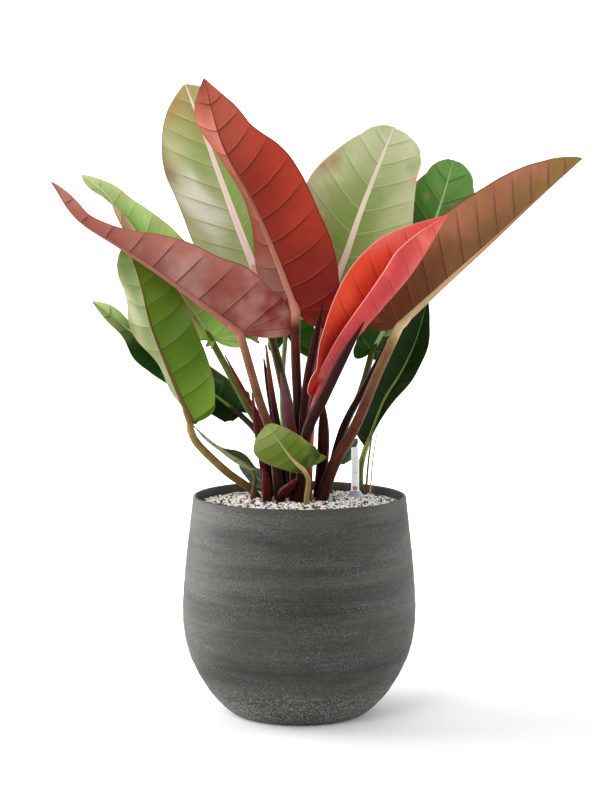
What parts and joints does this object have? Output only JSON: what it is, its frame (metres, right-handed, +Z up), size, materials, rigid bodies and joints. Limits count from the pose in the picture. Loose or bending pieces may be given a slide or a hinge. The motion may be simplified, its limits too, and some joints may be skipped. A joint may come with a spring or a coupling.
{
  "type": "potted philodendron",
  "caption": "Potted aroid house plant with broad red, orange and green leaves on upright stalks, in a round matte ceramic planter filled with mineral granulate, with a water gauge.",
  "frame": {"origin": "centre of the planter's flat underside", "axes": "+Z up; the front, which the largest leaves face, is -Y; +X is to the right seen from the front"},
  "size_m": [0.6967, 0.3489, 0.8491],
  "materials": {
    "planter_ceramic": "matte",
    "mineral_granulate": "matte",
    "root_ball": "matte",
    "crown_stem": "matte",
    "gauge_plastic": "satin",
    "gauge_collar": "satin",
    "gauge_tube": "gloss",
    "gauge_float": "satin",
    "leaf_centre": "satin",
    "leaf_stalk": "satin",
    "leaf_back_left": "satin",
    "leaf_left": "satin",
    "leaf_upper_left": "satin",
    "leaf_low_left": "satin",
    "leaf_dark_left": "satin",
    "leaf_back_right": "satin",
    "leaf_young": "satin",
    "leaf_right": "satin",
    "leaf_upper_right": "satin",
    "leaf_dark_right": "satin",
    "leaf_back_centre": "satin",
    "leaf_front": "satin",
    "leaf_rim_left": "satin",
    "leaf_rim_back": "satin",
    "leaf_beside_gauge": "satin",
    "leaf_sheath": "satin",
    "aerial_root": "matte"
  },
  "bodies": {
    "planting": {"pot": "planter_ceramic", "granulate": "mineral_granulate", "root_ball": "root_ball", "crown_stem": "crown_stem", "gauge_well": "gauge_plastic", "gauge_collar": "gauge_collar", "gauge_tube": "gauge_tube", "leaf_centre": "leaf_centre", "stalk_centre": "leaf_stalk", "leaf_back_left": "leaf_back_left", "stalk_back_left": "leaf_stalk", "leaf_left": "leaf_left", "stalk_left": "leaf_stalk", "leaf_upper_left": "leaf_upper_left", "stalk_upper_left": "leaf_stalk", "leaf_low_left": "leaf_low_left", "stalk_low_left": "leaf_stalk", "leaf_dark_left": "leaf_dark_left", "stalk_dark_left": "leaf_stalk", "leaf_back_right": "leaf_back_right", "stalk_back_right": "leaf_stalk", "leaf_young": "leaf_young", "stalk_young": "leaf_stalk", "leaf_right": "leaf_right", "stalk_right": "leaf_stalk", "leaf_upper_right": "leaf_upper_right", "stalk_upper_right": "leaf_stalk", "leaf_dark_right": "leaf_dark_right", "stalk_dark_right": "leaf_stalk", "leaf_back_centre": "leaf_back_centre", "stalk_back_centre": "leaf_stalk", "leaf_front": "leaf_front", "stalk_front": "leaf_stalk", "leaf_rim_left": "leaf_rim_left", "stalk_rim_left": "leaf_stalk", "leaf_rim_back": "leaf_rim_back", "stalk_rim_back": "leaf_stalk", "leaf_beside_gauge": "leaf_beside_gauge", "stalk_beside_gauge": "leaf_stalk", "sheath_tall_front": "leaf_sheath", "sheath_tall_right": "leaf_sheath", "sheath_short_left": "leaf_sheath", "sheath_short_left_inner": "leaf_sheath", "sheath_violet": "leaf_sheath", "sheath_thin_red": "leaf_sheath", "sheath_outer_left": "leaf_sheath", "sheath_spindle": "leaf_sheath", "sheath_beside_stalk": "leaf_sheath", "sheath_low_front": "leaf_sheath", "sheath_low_left": "leaf_sheath", "aerial_root_brown": "aerial_root", "aerial_root_pale": "aerial_root"},
    "float": {"gauge_float": "gauge_float"}
  },
  "joints": [
    {"name": "float_slide", "type": "slide", "parent": "planting", "child": "float", "axis": [0, 0, 1], "range_m": [0, 0.05]}
  ]
}
